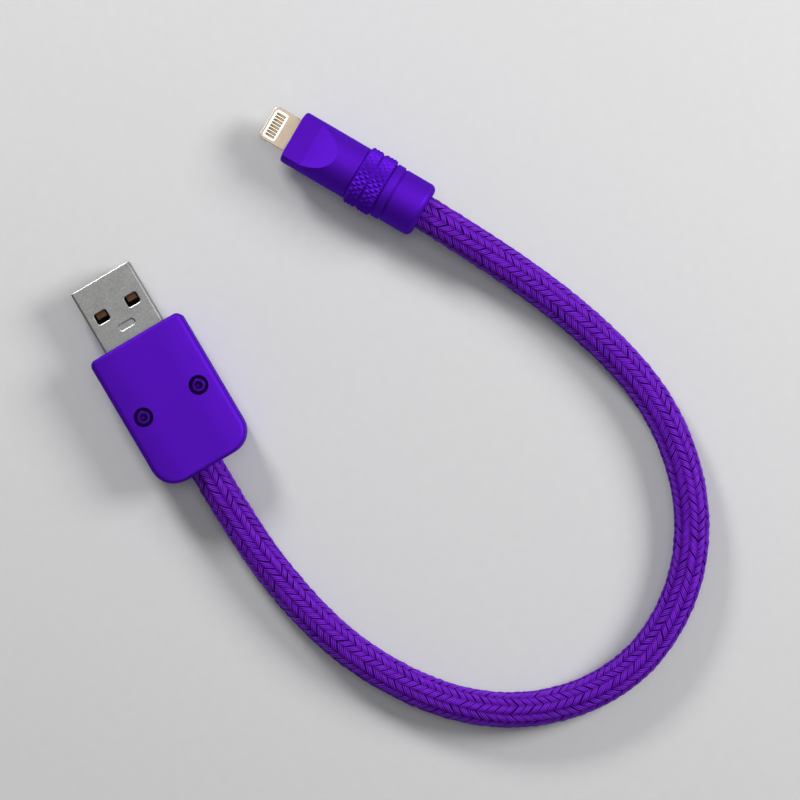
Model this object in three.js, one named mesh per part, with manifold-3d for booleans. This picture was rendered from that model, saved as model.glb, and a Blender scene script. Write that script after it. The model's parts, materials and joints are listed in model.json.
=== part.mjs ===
// A short charging cable that lies in an open loop: a flat, wide plug in a two-part housing at one end,
// a small eight-contact plug in a round knurled housing at the other, and a thick braided cord between them.
// Millimetres, +Z up. The surface that the cable lies on is z = 0. The wide plug's housing and shell
// point along +Y, with the origin under the middle of that plug.
import * as THREE from "three";
import { mergeVertices } from "three/addons/utils/BufferGeometryUtils.js";
import Module from "manifold-3d";

const wasm = await Module();
wasm.setup();

// ---------- driving dimensions ----------
const FIT = 0.05; // gap between rigid pieces that touch
const LOOSE = 0.3; // gap round the cord and between turned pieces
const ROUND = 40; // sides of a large round piece
const SMALL_ROUND = 16; // sides of a screw, insert or band

// Wide plug: its housing
const HOUSING_WIDTH = 18.7;
const HOUSING_LENGTH = 26.8;
const HOUSING_HEIGHT = 9.0;
const HOUSING_FRONT_R = 1.0;
const HOUSING_REAR_R = 4.4;
const HOUSING_EDGE = 0.8;
const CROWN_DROP = 0.55;
const CROWN_FLAT = 3.5; // half width of the level middle of the crown
const WALL = 1.5;
const CAVITY_HALF_WIDTH = 7.6;
const FRONT_WALL = 3.0;
const REAR_WALL = 3.4;
const SPLIT_Z = HOUSING_HEIGHT / 2;

// Wide plug: its shell and what is in it
const SHELL_WIDTH = 12.0;
const SHELL_HEIGHT = 4.5;
const SHELL_WALL = 0.32;
const SHELL_R = 0.6;
const SHELL_SHOWS = 12.35;
const SHELL_HELD = 8.0;
const WINDOW_WIDTH = 2.7;
const WINDOW_LENGTH = 2.3;
const WINDOW_R = 0.5;
const WINDOW_SPACING = 6.25;
const WINDOW_FROM_TIP = 6.3;
const DIMPLE_WIDTH = 3.4;
const DIMPLE_LENGTH = 1.4;
const DIMPLE_DEPTH = 0.16;
const DIMPLE_FROM_TIP = 9.7;
const TONGUE_THICKNESS = 1.84;
const TONGUE_BACK_FROM_TIP = 0.6;
const MOUTH_DEPTH = 8.8;
const BLADE_WIDTH = 1.0;
const BLADE_THICKNESS = 0.2;
const BLADE_BACK_FROM_TIP = 1.6;
const BLADE_X = [-3.5, -1.0, 1.0, 3.5];

// Wide plug: its screws
const SCREW_X = 5.7;
const SCREW_FROM_FRONT = 13.3;
const SCREW_HEAD_R = 1.25;
const SCREW_HEAD_HEIGHT = 1.4;
const SCREW_HEAD_SUNK = 0.45;
const SCREW_SHANK_R = 0.7;
const SCREW_LENGTH = 5.0;
const HEX_ACROSS_FLATS = 1.3;
const HEX_DEPTH = 0.8;
const COUNTERBORE_R = 1.75;
const BOSS_R = 2.3;
const INSERT_R = 1.3;
const INSERT_LENGTH = 2.4;

// Cord
const CORD_R = 3.2;
const CORD_SIDES = 12;
const CORD_STEPS = 66;
const CORD_LIES_Z = 3.22;
const CORD_OFF_CENTRE = -0.75; // the cord leaves the wide plug a little to one side
const JACKET_R = 2.1;
const BAND_IN_R = 2.4;
const BAND_OUT_R = 2.85;
const BAND_LENGTH = 3.6;
const WIRE_R = 0.32;
const WIRE_SIDES = 8;

// Small plug, in a frame of its own: its nose is at y = 0, its tip points along +Y, its axis is z = 0
const SMALL_PLUG_AT = [42.9, 23.9];
const SMALL_PLUG_TURN = THREE.MathUtils.degToRad(29.2);
const TIP_WIDTH = 6.7;
const TIP_THICKNESS = 1.5;
const TIP_SHOWS = 5.46;
const TIP_HELD = 3.0;
const TIP_R = 0.9;
const WHITE_WIDTH = 5.57;
const WHITE_LENGTH = 2.7;
const WHITE_R = 0.6;
const WHITE_FROM_TIP = 0.45;
const PAD_COUNT = 8;
const PAD_PITCH = 0.59;
const PAD_WIDTH = 0.31;
const PAD_LENGTH = 1.65;
const PAD_FROM_TIP = 0.95;
const BOARD_THICKNESS = 0.6;
const BOARD_WIDTH = 4.6;
const BOARD_REAR_WIDTH = 6.2;
const BOARD_LENGTH = 12.0;
const NOSE_R = 5.05;
const NOSE_LENGTH = 13.2;
const NOSE_EDGE = 0.6;
const THUMB_FLAT = 3.06; // height of the thumb flats above and below the axis
const THUMB_FLAT_LENGTH = 3.9;
const THUMB_RAMP_END = 8.9;
const SPIGOT_R = 4.25;
const SPIGOT_BORE_R = 3.6;
const SPIGOT_END = 22.0;
const GRIP_R = 5.65;
const GRIP_FRONT = 13.5;
const GRIP_REAR = 18.7;
const GRIP_GROOVE = [15.8, 16.1];
const GRIP_GROOVE_DEPTH = 0.4;
const RING_R = 5.25;
const RING_NECK_R = 4.8;
const RING_FRONT = 19.0;
const RING_REAR = 20.5;
const COLLAR_R = 5.1;
const COLLAR_FRONT = 20.9;
const COLLAR_REAR = 27.0;
const COLLAR_EDGE = 1.1;

// ---------- worked out from them ----------
const AXIS_Z = HOUSING_HEIGHT / 2;
const TIP_Y = (SHELL_SHOWS + HOUSING_LENGTH) / 2;
const FRONT_Y = TIP_Y - SHELL_SHOWS;
const REAR_Y = FRONT_Y - HOUSING_LENGTH;
const SHELL_REAR_Y = FRONT_Y - SHELL_HELD;
const MOUTH_Y = TIP_Y - MOUTH_DEPTH;
const INSULATOR_REAR_Y = SHELL_REAR_Y - 1.2;
const BLADE_REAR_Y = INSULATOR_REAR_Y - 2.0;
const TONGUE_Z = AXIS_Z - SHELL_HEIGHT / 2 + SHELL_WALL + FIT;
const BLADE_Z = TONGUE_Z + TONGUE_THICKNESS + FIT;
const SCREW_Y = FRONT_Y - SCREW_FROM_FRONT;
const SCREW_SEAT_Z = HOUSING_HEIGHT - SCREW_HEAD_SUNK - SCREW_HEAD_HEIGHT;
const CORD_START_Y = REAR_Y + 4.3;
const JACKET_FRONT_Y = -9.2;
const SMALL_AXIS_Z = GRIP_R;

// ---------- materials ----------
function finish(color, roughness, metalness = 0) {
  return new THREE.MeshStandardMaterial({ color, roughness, metalness });
}
const purplePlastic = finish(0x4d12ae, 0.45);
const purpleMetal = finish(0x4a10a4, 0.38, 0.4);
const purpleBraid = finish(0x5e1cc0, 0.85);
const satinSteel = finish(0xa9a8a5, 0.4, 1);
const champagneMetal = finish(0xc3b496, 0.35, 1);
const whitePlastic = finish(0xf6f2ea, 0.4);
const blackPlastic = finish(0x141312, 0.5);
const gold = finish(0xc89b45, 0.3, 1);
const brass = finish(0xb08c4a, 0.35, 1);
const tinPlate = finish(0xb4b4b0, 0.4, 1);
const greenBoard = finish(0x1c5a38, 0.5);
const darkRubber = finish(0x1a191c, 0.7);
const wireColours = [0xb32020, 0xe8e6e0, 0x2a7a34, 0x1b1b1b].map((c) => finish(c, 0.55));

// ---------- shaping ----------
function solidOf(geometry) {
  const bare = geometry.clone();
  bare.deleteAttribute("normal");
  bare.deleteAttribute("uv");
  const merged = mergeVertices(bare, 1e-4);
  return new wasm.Manifold(
    new wasm.Mesh({
      numProp: 3,
      vertProperties: merged.attributes.position.array,
      triVerts: new Uint32Array(merged.index.array),
    }),
  );
}

function geometryOf(solid) {
  const mesh = solid.getMesh();
  const geometry = new THREE.BufferGeometry();
  geometry.setAttribute("position", new THREE.BufferAttribute(mesh.vertProperties, 3));
  geometry.setIndex(new THREE.BufferAttribute(mesh.triVerts, 1));
  geometry.computeVertexNormals();
  return geometry;
}

function cut(geometry, tools) {
  return geometryOf(tools.reduce((left, tool) => left.subtract(solidOf(tool)), solidOf(geometry)));
}

function join(geometries) {
  return geometryOf(geometries.map(solidOf).reduce((a, b) => a.add(b)));
}

function common(a, b) {
  return geometryOf(solidOf(a).intersect(solidOf(b)));
}

function block([x0, x1], [y0, y1], [z0, z1]) {
  const geometry = new THREE.BoxGeometry(x1 - x0, y1 - y0, z1 - z0);
  return geometry.translate((x0 + x1) / 2, (y0 + y1) / 2, (z0 + z1) / 2);
}

// An outline with its own radius at each end: front is +y, rear is -y.
function roundedOutline(width, length, frontR, rearR = frontR) {
  const x = width / 2;
  const y = length / 2;
  const shape = new THREE.Shape();
  shape.absarc(x - rearR, rearR - y, rearR, -Math.PI / 2, 0);
  shape.absarc(x - frontR, y - frontR, frontR, 0, Math.PI / 2);
  shape.absarc(frontR - x, y - frontR, frontR, Math.PI / 2, Math.PI);
  shape.absarc(rearR - x, rearR - y, rearR, Math.PI, 1.5 * Math.PI);
  shape.closePath();
  return shape;
}

// Extrudes a shape drawn in plan, from z0 up to z1.
function upward(shape, z0, z1, curveSegments = 4) {
  const geometry = new THREE.ExtrudeGeometry(shape, { depth: z1 - z0, bevelEnabled: false, curveSegments });
  return geometry.translate(0, 0, z0);
}

// Extrudes a section drawn looking along +Y, from y0 to y1, about the height z.
function lengthwise(shape, y0, y1, z = 0, curveSegments = 4) {
  const geometry = new THREE.ExtrudeGeometry(shape, { depth: y1 - y0, bevelEnabled: false, curveSegments });
  return geometry.rotateX(Math.PI / 2).translate(0, y1, z);
}

function upright(radius, z0, z1, sides = SMALL_ROUND) {
  const geometry = new THREE.CylinderGeometry(radius, radius, z1 - z0, sides);
  return geometry.rotateX(Math.PI / 2).translate(0, 0, (z0 + z1) / 2);
}

// Turns a closed outline of [radius, y] points about the Y axis.
function turned(outline, sides = ROUND) {
  const points = [...outline, outline[0]].map(([r, y]) => new THREE.Vector2(r, y));
  return new THREE.LatheGeometry(points, sides);
}

function sleeve(inner, outer, y0, y1, sides = ROUND) {
  return turned([[inner, y0], [outer, y0], [outer, y1], [inner, y1]], sides);
}

function tube(curve, radius, sides, steps) {
  const section = new THREE.Shape();
  for (let i = 0; i < sides; i += 1) {
    const angle = (2 * Math.PI * i) / sides;
    const x = radius * Math.cos(angle);
    const y = radius * Math.sin(angle);
    if (i === 0) section.moveTo(x, y);
    else section.lineTo(x, y);
  }
  section.closePath();
  return new THREE.ExtrudeGeometry(section, { extrudePath: curve, steps, bevelEnabled: false });
}

const cable = new THREE.Group();

function add(group, name, geometry, material) {
  const mesh = new THREE.Mesh(geometry, material);
  mesh.name = name;
  group.add(mesh);
  return mesh;
}

// ---------- wide plug: housing halves ----------
function housingBody() {
  const plan = roundedOutline(HOUSING_WIDTH, HOUSING_LENGTH, HOUSING_FRONT_R, HOUSING_REAR_R);
  const slab = new THREE.ExtrudeGeometry(plan, {
    depth: HOUSING_HEIGHT - 2 * HOUSING_EDGE,
    bevelThickness: HOUSING_EDGE,
    bevelSize: HOUSING_EDGE,
    bevelOffset: -HOUSING_EDGE,
    bevelSegments: 3,
    curveSegments: 6,
  });
  slab.translate(0, (FRONT_Y + REAR_Y) / 2, HOUSING_EDGE);
  const half = HOUSING_WIDTH / 2 + 1;
  const steps = 6;
  const edge = [];
  for (let i = 0; i <= steps; i += 1) {
    const x = CROWN_FLAT + ((half - CROWN_FLAT) * i) / steps;
    const share = (x - CROWN_FLAT) / (HOUSING_WIDTH / 2 - CROWN_FLAT);
    edge.push([x, HOUSING_HEIGHT / 2 - CROWN_DROP * share * share]);
  }
  const mirrored = edge.map(([x, z]) => [-x, z]).reverse();
  const upper = [...mirrored, ...edge];
  const lower = upper.map(([x, z]) => [x, -z]).reverse();
  const section = new THREE.Shape([...upper, ...lower].map(([x, z]) => new THREE.Vector2(x, z)));
  return common(slab, lengthwise(section, REAR_Y - 1, FRONT_Y + 1, AXIS_Z));
}

function housingCavity() {
  const room = block(
    [-CAVITY_HALF_WIDTH, CAVITY_HALF_WIDTH],
    [REAR_Y + REAR_WALL, FRONT_Y - FRONT_WALL],
    [WALL, HOUSING_HEIGHT - WALL],
  );
  const bosses = [-SCREW_X, SCREW_X].map((x) => upright(BOSS_R, 0, HOUSING_HEIGHT).translate(x, SCREW_Y, 0));
  return cut(room, bosses);
}

function housingHalf(isTop) {
  const shellHole = lengthwise(
    roundedOutline(SHELL_WIDTH + 2 * FIT, SHELL_HEIGHT + 2 * FIT, SHELL_R),
    FRONT_Y - FRONT_WALL - 1,
    FRONT_Y + 1,
    AXIS_Z,
  );
  const cordHole = new THREE.CylinderGeometry(CORD_R + LOOSE, CORD_R + LOOSE, REAR_WALL + 2, 24);
  cordHole.translate(CORD_OFF_CENTRE, REAR_Y + REAR_WALL / 2, AXIS_Z);
  const tools = [housingCavity(), shellHole, cordHole];
  for (const x of [-SCREW_X, SCREW_X]) {
    if (isTop) {
      tools.push(upright(SCREW_SHANK_R + 0.15, 0, HOUSING_HEIGHT + 1).translate(x, SCREW_Y, 0));
      tools.push(upright(COUNTERBORE_R, SCREW_SEAT_Z, HOUSING_HEIGHT + 1, 24).translate(x, SCREW_Y, 0));
    } else {
      const pocket = upright(INSERT_R + FIT, SPLIT_Z - INSERT_LENGTH - 0.3, SPLIT_Z + 1);
      tools.push(pocket.translate(x, SCREW_Y, 0));
    }
  }
  const reach = HOUSING_LENGTH;
  const span = isTop ? [SPLIT_Z + FIT / 2, reach] : [-reach, SPLIT_Z - FIT / 2];
  const side = block([-reach, reach], [-reach, reach], span);
  return cut(common(housingBody(), side), tools);
}

add(cable, "usb_housing_top", housingHalf(true), purplePlastic);
add(cable, "usb_housing_bottom", housingHalf(false), purplePlastic);

// ---------- wide plug: shell, insulator and contacts ----------
function plugShell() {
  const section = roundedOutline(SHELL_WIDTH, SHELL_HEIGHT, SHELL_R);
  const inside = roundedOutline(
    SHELL_WIDTH - 2 * SHELL_WALL,
    SHELL_HEIGHT - 2 * SHELL_WALL,
    SHELL_R - SHELL_WALL,
  );
  section.holes.push(new THREE.Path(inside.getPoints(4)));
  const pipe = lengthwise(section, SHELL_REAR_Y, TIP_Y, AXIS_Z);
  const tools = [-1, 1].map((side) => {
    const window = roundedOutline(WINDOW_WIDTH, WINDOW_LENGTH, WINDOW_R);
    const through = upward(window, AXIS_Z - SHELL_HEIGHT, AXIS_Z + SHELL_HEIGHT, 3);
    return through.translate((side * WINDOW_SPACING) / 2, TIP_Y - WINDOW_FROM_TIP, 0);
  });
  const top = AXIS_Z + SHELL_HEIGHT / 2;
  const dimple = upward(roundedOutline(DIMPLE_WIDTH, DIMPLE_LENGTH, DIMPLE_LENGTH / 2.1), top - DIMPLE_DEPTH, top + 1, 4);
  tools.push(dimple.translate(0, TIP_Y - DIMPLE_FROM_TIP, 0));
  return cut(pipe, tools);
}

function plugInsulator() {
  const half = SHELL_WIDTH / 2 - SHELL_WALL - 4 * FIT;
  const ceiling = AXIS_Z + SHELL_HEIGHT / 2 - SHELL_WALL - FIT;
  const tongueTop = TONGUE_Z + TONGUE_THICKNESS;
  const tongue = block([-half, half], [MOUTH_Y - 1, TIP_Y - TONGUE_BACK_FROM_TIP], [TONGUE_Z, tongueTop]);
  const base = block([-half, half], [INSULATOR_REAR_Y, MOUTH_Y], [TONGUE_Z, ceiling]);
  const slots = BLADE_X.map((x) => {
    const slotHalf = BLADE_WIDTH / 2 + FIT;
    const slotTop = BLADE_Z + BLADE_THICKNESS + FIT;
    return block([x - slotHalf, x + slotHalf], [INSULATOR_REAR_Y - 1, MOUTH_Y + 1], [tongueTop, slotTop]);
  });
  return cut(join([tongue, base]), slots);
}

function contactBlade(x) {
  return block(
    [x - BLADE_WIDTH / 2, x + BLADE_WIDTH / 2],
    [BLADE_REAR_Y, TIP_Y - BLADE_BACK_FROM_TIP],
    [BLADE_Z, BLADE_Z + BLADE_THICKNESS],
  );
}

add(cable, "usb_shell", plugShell(), satinSteel);
add(cable, "usb_insulator", plugInsulator(), blackPlastic);
BLADE_X.forEach((x, i) => add(cable, `usb_contact_${i + 1}`, contactBlade(x), gold));

// ---------- wide plug: screws and threaded inserts ----------
function socketScrew() {
  const headTop = SCREW_SEAT_Z + SCREW_HEAD_HEIGHT;
  const head = upright(SCREW_HEAD_R, SCREW_SEAT_Z + FIT, headTop, 24);
  const shank = upright(SCREW_SHANK_R, SCREW_SEAT_Z - SCREW_LENGTH, SCREW_SEAT_Z + 0.5);
  const hexR = HEX_ACROSS_FLATS / Math.sqrt(3);
  return cut(join([head, shank]), [upright(hexR, headTop - HEX_DEPTH, headTop + 1, 6)]);
}

function threadedInsert() {
  const top = SPLIT_Z - FIT;
  const ring = upright(INSERT_R, top - INSERT_LENGTH, top);
  return cut(ring, [upright(SCREW_SHANK_R + FIT, 0, HOUSING_HEIGHT)]);
}

for (const [side, x] of [["left", -SCREW_X], ["right", SCREW_X]]) {
  add(cable, `usb_screw_${side}`, socketScrew().translate(x, SCREW_Y, 0), purpleMetal);
  add(cable, `usb_insert_${side}`, threadedInsert().translate(x, SCREW_Y, 0), brass);
}

// ---------- wide plug: the cord's end inside the housing ----------
const JACKET_REAR_Y = CORD_START_Y + LOOSE;
const usbJacket = new THREE.CylinderGeometry(JACKET_R, JACKET_R, JACKET_FRONT_Y - JACKET_REAR_Y, SMALL_ROUND);
usbJacket.translate(CORD_OFF_CENTRE, (JACKET_FRONT_Y + JACKET_REAR_Y) / 2, AXIS_Z);
add(cable, "usb_cord_jacket", usbJacket, darkRubber);

const usbBand = sleeve(BAND_IN_R, BAND_OUT_R, JACKET_REAR_Y + 0.6, JACKET_REAR_Y + 0.6 + BAND_LENGTH, SMALL_ROUND);
add(cable, "usb_crimp_band", usbBand.translate(CORD_OFF_CENTRE, 0, AXIS_Z), tinPlate);

BLADE_X.forEach((x, i) => {
  const wireZ = BLADE_Z + BLADE_THICKNESS + FIT + WIRE_R;
  const jacketX = CORD_OFF_CENTRE + (i - 1.5) * 0.9;
  const bend = (JACKET_FRONT_Y + BLADE_REAR_Y) / 2;
  const path = new THREE.CatmullRomCurve3([
    new THREE.Vector3(jacketX, JACKET_FRONT_Y + FIT, AXIS_Z + 0.4),
    new THREE.Vector3(jacketX, JACKET_FRONT_Y + 0.8, AXIS_Z + 0.4),
    new THREE.Vector3((jacketX + x) / 2, bend, (AXIS_Z + 0.4 + wireZ) / 2),
    new THREE.Vector3(x, BLADE_REAR_Y - 0.2, wireZ),
    new THREE.Vector3(x, BLADE_REAR_Y + 1.4, wireZ),
  ]);
  add(cable, `usb_wire_${i + 1}`, tube(path, WIRE_R, WIRE_SIDES, 7), wireColours[i]);
});

// ---------- small plug ----------
const smallPlug = new THREE.Group();
smallPlug.position.set(...SMALL_PLUG_AT, SMALL_AXIS_Z);
smallPlug.rotation.z = SMALL_PLUG_TURN;
cable.add(smallPlug);

const WHITE_Y = TIP_SHOWS - WHITE_FROM_TIP - WHITE_LENGTH / 2;

function whiteOutline(gap) {
  return roundedOutline(WHITE_WIDTH + 2 * gap, WHITE_LENGTH + 2 * gap, WHITE_R + gap);
}

function tipFrame() {
  const length = TIP_SHOWS + TIP_HELD;
  const half = TIP_THICKNESS / 2;
  const plate = upward(roundedOutline(TIP_WIDTH, length, TIP_R, 0.2), -half, half);
  plate.translate(0, TIP_SHOWS - length / 2, 0);
  const window = upward(whiteOutline(FIT), -TIP_THICKNESS, TIP_THICKNESS).translate(0, WHITE_Y, 0);
  const channelX = BOARD_WIDTH / 2 + FIT;
  const channelZ = BOARD_THICKNESS / 2 + FIT;
  const channel = block([-channelX, channelX], [-TIP_HELD - 1, WHITE_Y], [-channelZ, channelZ]);
  return cut(plate, [window, channel]);
}

// The pads of one face, as [x0, x1] and [y0, y1] spans grown by a gap.
function padSpan(index, gap) {
  const x = (index - (PAD_COUNT - 1) / 2) * PAD_PITCH;
  const front = TIP_SHOWS - PAD_FROM_TIP;
  return [
    [x - PAD_WIDTH / 2 - gap, x + PAD_WIDTH / 2 + gap],
    [front - PAD_LENGTH - gap, front + gap],
  ];
}

function tipInsulator() {
  const half = TIP_THICKNESS / 2;
  const body = upward(whiteOutline(0), -half, half).translate(0, WHITE_Y, 0);
  const slotX = BOARD_WIDTH / 2 + FIT;
  const slotZ = BOARD_THICKNESS / 2 + FIT;
  const slotFront = TIP_SHOWS - PAD_FROM_TIP - 0.1;
  const tools = [block([-slotX, slotX], [-TIP_HELD, slotFront], [-slotZ, slotZ])];
  for (let i = 0; i < PAD_COUNT; i += 1) {
    tools.push(block(...padSpan(i, FIT), [-TIP_THICKNESS, TIP_THICKNESS]));
  }
  return cut(body, tools);
}

add(smallPlug, "device_tip_frame", tipFrame(), champagneMetal);
add(smallPlug, "device_tip_insulator", tipInsulator(), whitePlastic);
for (let i = 0; i < PAD_COUNT; i += 1) {
  const low = BOARD_THICKNESS / 2 + FIT;
  const high = TIP_THICKNESS / 2 - 0.03;
  add(smallPlug, `device_pad_top_${i + 1}`, block(...padSpan(i, 0), [low, high]), gold);
  add(smallPlug, `device_pad_bottom_${i + 1}`, block(...padSpan(i, 0), [-high, -low]), gold);
}

// Board, controller and shield inside the nose
const BOARD_STEP_Y = -TIP_HELD - LOOSE;
const boardFront = block(
  [-BOARD_WIDTH / 2, BOARD_WIDTH / 2],
  [BOARD_STEP_Y - 1, TIP_SHOWS - PAD_FROM_TIP - 0.2],
  [-BOARD_THICKNESS / 2, BOARD_THICKNESS / 2],
);
const boardRear = block(
  [-BOARD_REAR_WIDTH / 2, BOARD_REAR_WIDTH / 2],
  [-BOARD_LENGTH, BOARD_STEP_Y],
  [-BOARD_THICKNESS / 2, BOARD_THICKNESS / 2],
);
add(smallPlug, "device_contact_board", join([boardFront, boardRear]), greenBoard);
const chipZ = BOARD_THICKNESS / 2 + FIT;
add(smallPlug, "device_controller_chip", block([-1.4, 1.4], [-7.4, -4.6], [chipZ, chipZ + 0.8]), blackPlastic);
const canSection = roundedOutline(7.0, 3.4, 0.3);
canSection.holes.push(new THREE.Path(roundedOutline(6.5, 2.9, 0.15).getPoints(3)));
add(smallPlug, "device_shield_can", lengthwise(canSection, -11.4, BOARD_STEP_Y - 0.2, 0, 3), tinPlate);

// ---------- small plug: housing ----------
function noseHousing() {
  const body = turned([
    [0, -NOSE_LENGTH],
    [0, 0],
    [NOSE_R - NOSE_EDGE, 0],
    [NOSE_R - NOSE_EDGE * 0.3, -NOSE_EDGE * 0.3],
    [NOSE_R, -NOSE_EDGE],
    [NOSE_R, -NOSE_LENGTH],
    [SPIGOT_R, -NOSE_LENGTH],
    [SPIGOT_R, -SPIGOT_END],
    [0, -SPIGOT_END],
  ].reverse());
  const tipHole = block(
    [-TIP_WIDTH / 2 - FIT, TIP_WIDTH / 2 + FIT],
    [-5, 1],
    [-TIP_THICKNESS / 2 - FIT, TIP_THICKNESS / 2 + FIT],
  );
  const room = block([-3.75, 3.75], [-12.6, -1.8], [-2.2, 2.2]);
  const bore = new THREE.CylinderGeometry(SPIGOT_BORE_R, SPIGOT_BORE_R, SPIGOT_END - 9, 24);
  bore.translate(0, -9 - (SPIGOT_END - 9) / 2 - 0.5, 0);
  const above = new THREE.Shape([
    new THREE.Vector2(1, THUMB_FLAT),
    new THREE.Vector2(-THUMB_FLAT_LENGTH, THUMB_FLAT),
    new THREE.Vector2(-THUMB_RAMP_END, NOSE_R),
    new THREE.Vector2(-THUMB_RAMP_END, NOSE_R + 1),
    new THREE.Vector2(1, NOSE_R + 1),
  ]);
  const thumbCut = new THREE.ExtrudeGeometry(above, { depth: 2 * NOSE_R, bevelEnabled: false });
  thumbCut.translate(0, 0, -NOSE_R);
  // The cutter is drawn in (y, z) and stands across the plug.
  thumbCut.applyMatrix4(new THREE.Matrix4().set(0, 0, 1, 0, 1, 0, 0, 0, 0, 1, 0, 0, 0, 0, 0, 1));
  const thumbCutBelow = thumbCut.clone().rotateY(Math.PI);
  return cut(body, [tipHole, room, bore, thumbCut, thumbCutBelow]);
}

const gripGrooveR = GRIP_R - GRIP_GROOVE_DEPTH;
const gripRing = turned([
  [SPIGOT_R + FIT, -GRIP_REAR],
  [GRIP_R, -GRIP_REAR],
  [GRIP_R, -GRIP_GROOVE[1]],
  [gripGrooveR, -GRIP_GROOVE[1]],
  [gripGrooveR, -GRIP_GROOVE[0]],
  [GRIP_R, -GRIP_GROOVE[0]],
  [GRIP_R, -GRIP_FRONT],
  [SPIGOT_R + FIT, -NOSE_LENGTH - FIT],
]);

const spacerRing = turned([
  [SPIGOT_R + FIT, -COLLAR_FRONT + FIT],
  [RING_NECK_R, -COLLAR_FRONT + FIT],
  [RING_NECK_R, -RING_REAR],
  [RING_R, -RING_REAR],
  [RING_R, -RING_FRONT],
  [RING_NECK_R, -RING_FRONT],
  [RING_NECK_R, -GRIP_REAR - FIT],
  [SPIGOT_R + FIT, -GRIP_REAR - FIT],
]);

const collarCorner = COLLAR_EDGE * (1 - Math.SQRT1_2);
const rearCollar = turned([
  [CORD_R + LOOSE, -COLLAR_REAR],
  [COLLAR_R - COLLAR_EDGE, -COLLAR_REAR],
  [COLLAR_R - collarCorner, -COLLAR_REAR + collarCorner],
  [COLLAR_R, -COLLAR_REAR + COLLAR_EDGE],
  [COLLAR_R, -COLLAR_FRONT],
  [SPIGOT_R + FIT, -COLLAR_FRONT],
  [SPIGOT_R + FIT, -SPIGOT_END - FIT],
  [CORD_R + LOOSE, -SPIGOT_END - FIT],
]);

add(smallPlug, "device_nose_housing", noseHousing(), purpleMetal);
add(smallPlug, "device_grip_ring", gripRing, purpleMetal);
add(smallPlug, "device_spacer_ring", spacerRing, purpleMetal);
add(smallPlug, "device_rear_collar", rearCollar, purpleMetal);

// The cord's end inside the small plug
const DEVICE_CORD_END = 19.2;
const DEVICE_JACKET_FRONT = 13.2;
const deviceJacketLength = DEVICE_CORD_END - LOOSE - DEVICE_JACKET_FRONT;
const deviceJacket = new THREE.CylinderGeometry(JACKET_R, JACKET_R, deviceJacketLength, SMALL_ROUND);
deviceJacket.translate(0, -DEVICE_JACKET_FRONT - deviceJacketLength / 2, 0);
add(smallPlug, "device_cord_jacket", deviceJacket, darkRubber);
const bandFront = -DEVICE_JACKET_FRONT - 0.9;
add(smallPlug, "device_crimp_band", sleeve(BAND_IN_R, BAND_OUT_R, bandFront - BAND_LENGTH, bandFront, SMALL_ROUND), tinPlate);

for (let i = 0; i < wireColours.length; i += 1) {
  const x = (i - 1.5) * 1.3;
  const jacketX = (i - 1.5) * 0.9;
  const wireZ = BOARD_THICKNESS / 2 + FIT + WIRE_R;
  const path = new THREE.CatmullRomCurve3([
    new THREE.Vector3(jacketX, -DEVICE_JACKET_FRONT + FIT, 0),
    new THREE.Vector3(jacketX, -DEVICE_JACKET_FRONT + 0.4, 0.1),
    new THREE.Vector3(x, -BOARD_LENGTH - 0.1, wireZ),
    new THREE.Vector3(x, -BOARD_LENGTH + 1.6, wireZ),
  ]);
  add(smallPlug, `device_wire_${i + 1}`, tube(path, WIRE_R, WIRE_SIDES, 6), wireColours[i]);
}

// ---------- cord ----------
// The route of the cord's centre, from inside the wide plug's housing to inside the small plug's collar.
const turnSin = Math.sin(SMALL_PLUG_TURN);
const turnCos = Math.cos(SMALL_PLUG_TURN);
function onSmallAxis(behindNose) {
  return [
    SMALL_PLUG_AT[0] + behindNose * turnSin,
    SMALL_PLUG_AT[1] - behindNose * turnCos,
    SMALL_AXIS_Z,
  ];
}
const ROUTE = [
  [CORD_OFF_CENTRE, CORD_START_Y, AXIS_Z],
  [CORD_OFF_CENTRE, REAR_Y, AXIS_Z],
  [-0.8, -25.0, 4.1],
  [-0.7, -31.5, 3.42],
  [-0.3, -38.5, CORD_LIES_Z],
  [0.8, -46.4, CORD_LIES_Z],
  [2.5, -54.1, CORD_LIES_Z],
  [5.1, -61.6, CORD_LIES_Z],
  [8.7, -68.7, CORD_LIES_Z],
  [13.2, -75.3, CORD_LIES_Z],
  [18.7, -81.0, CORD_LIES_Z],
  [25.2, -85.5, CORD_LIES_Z],
  [32.7, -88.5, CORD_LIES_Z],
  [40.8, -89.7, CORD_LIES_Z],
  [48.8, -88.8, CORD_LIES_Z],
  [56.1, -85.8, CORD_LIES_Z],
  [62.5, -81.2, CORD_LIES_Z],
  [67.7, -75.2, CORD_LIES_Z],
  [71.5, -68.2, CORD_LIES_Z],
  [73.8, -60.6, CORD_LIES_Z],
  [74.7, -52.8, CORD_LIES_Z],
  [74.2, -44.9, CORD_LIES_Z],
  [72.5, -37.1, CORD_LIES_Z],
  [70.0, -29.2, CORD_LIES_Z],
  [67.0, -21.6, 3.3],
  [63.6, -14.2, 3.85],
  [60.0, -7.1, 4.95],
  onSmallAxis(COLLAR_REAR),
  onSmallAxis(DEVICE_CORD_END),
];
const route = new THREE.CatmullRomCurve3(ROUTE.map((p) => new THREE.Vector3(...p)));
add(cable, "braided_cord", tube(route, CORD_R, CORD_SIDES, CORD_STEPS), purpleBraid);

export default cable;
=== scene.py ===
import json
import math

import bmesh
import bpy
import numpy as np
from mathutils import Matrix, Vector


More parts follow.
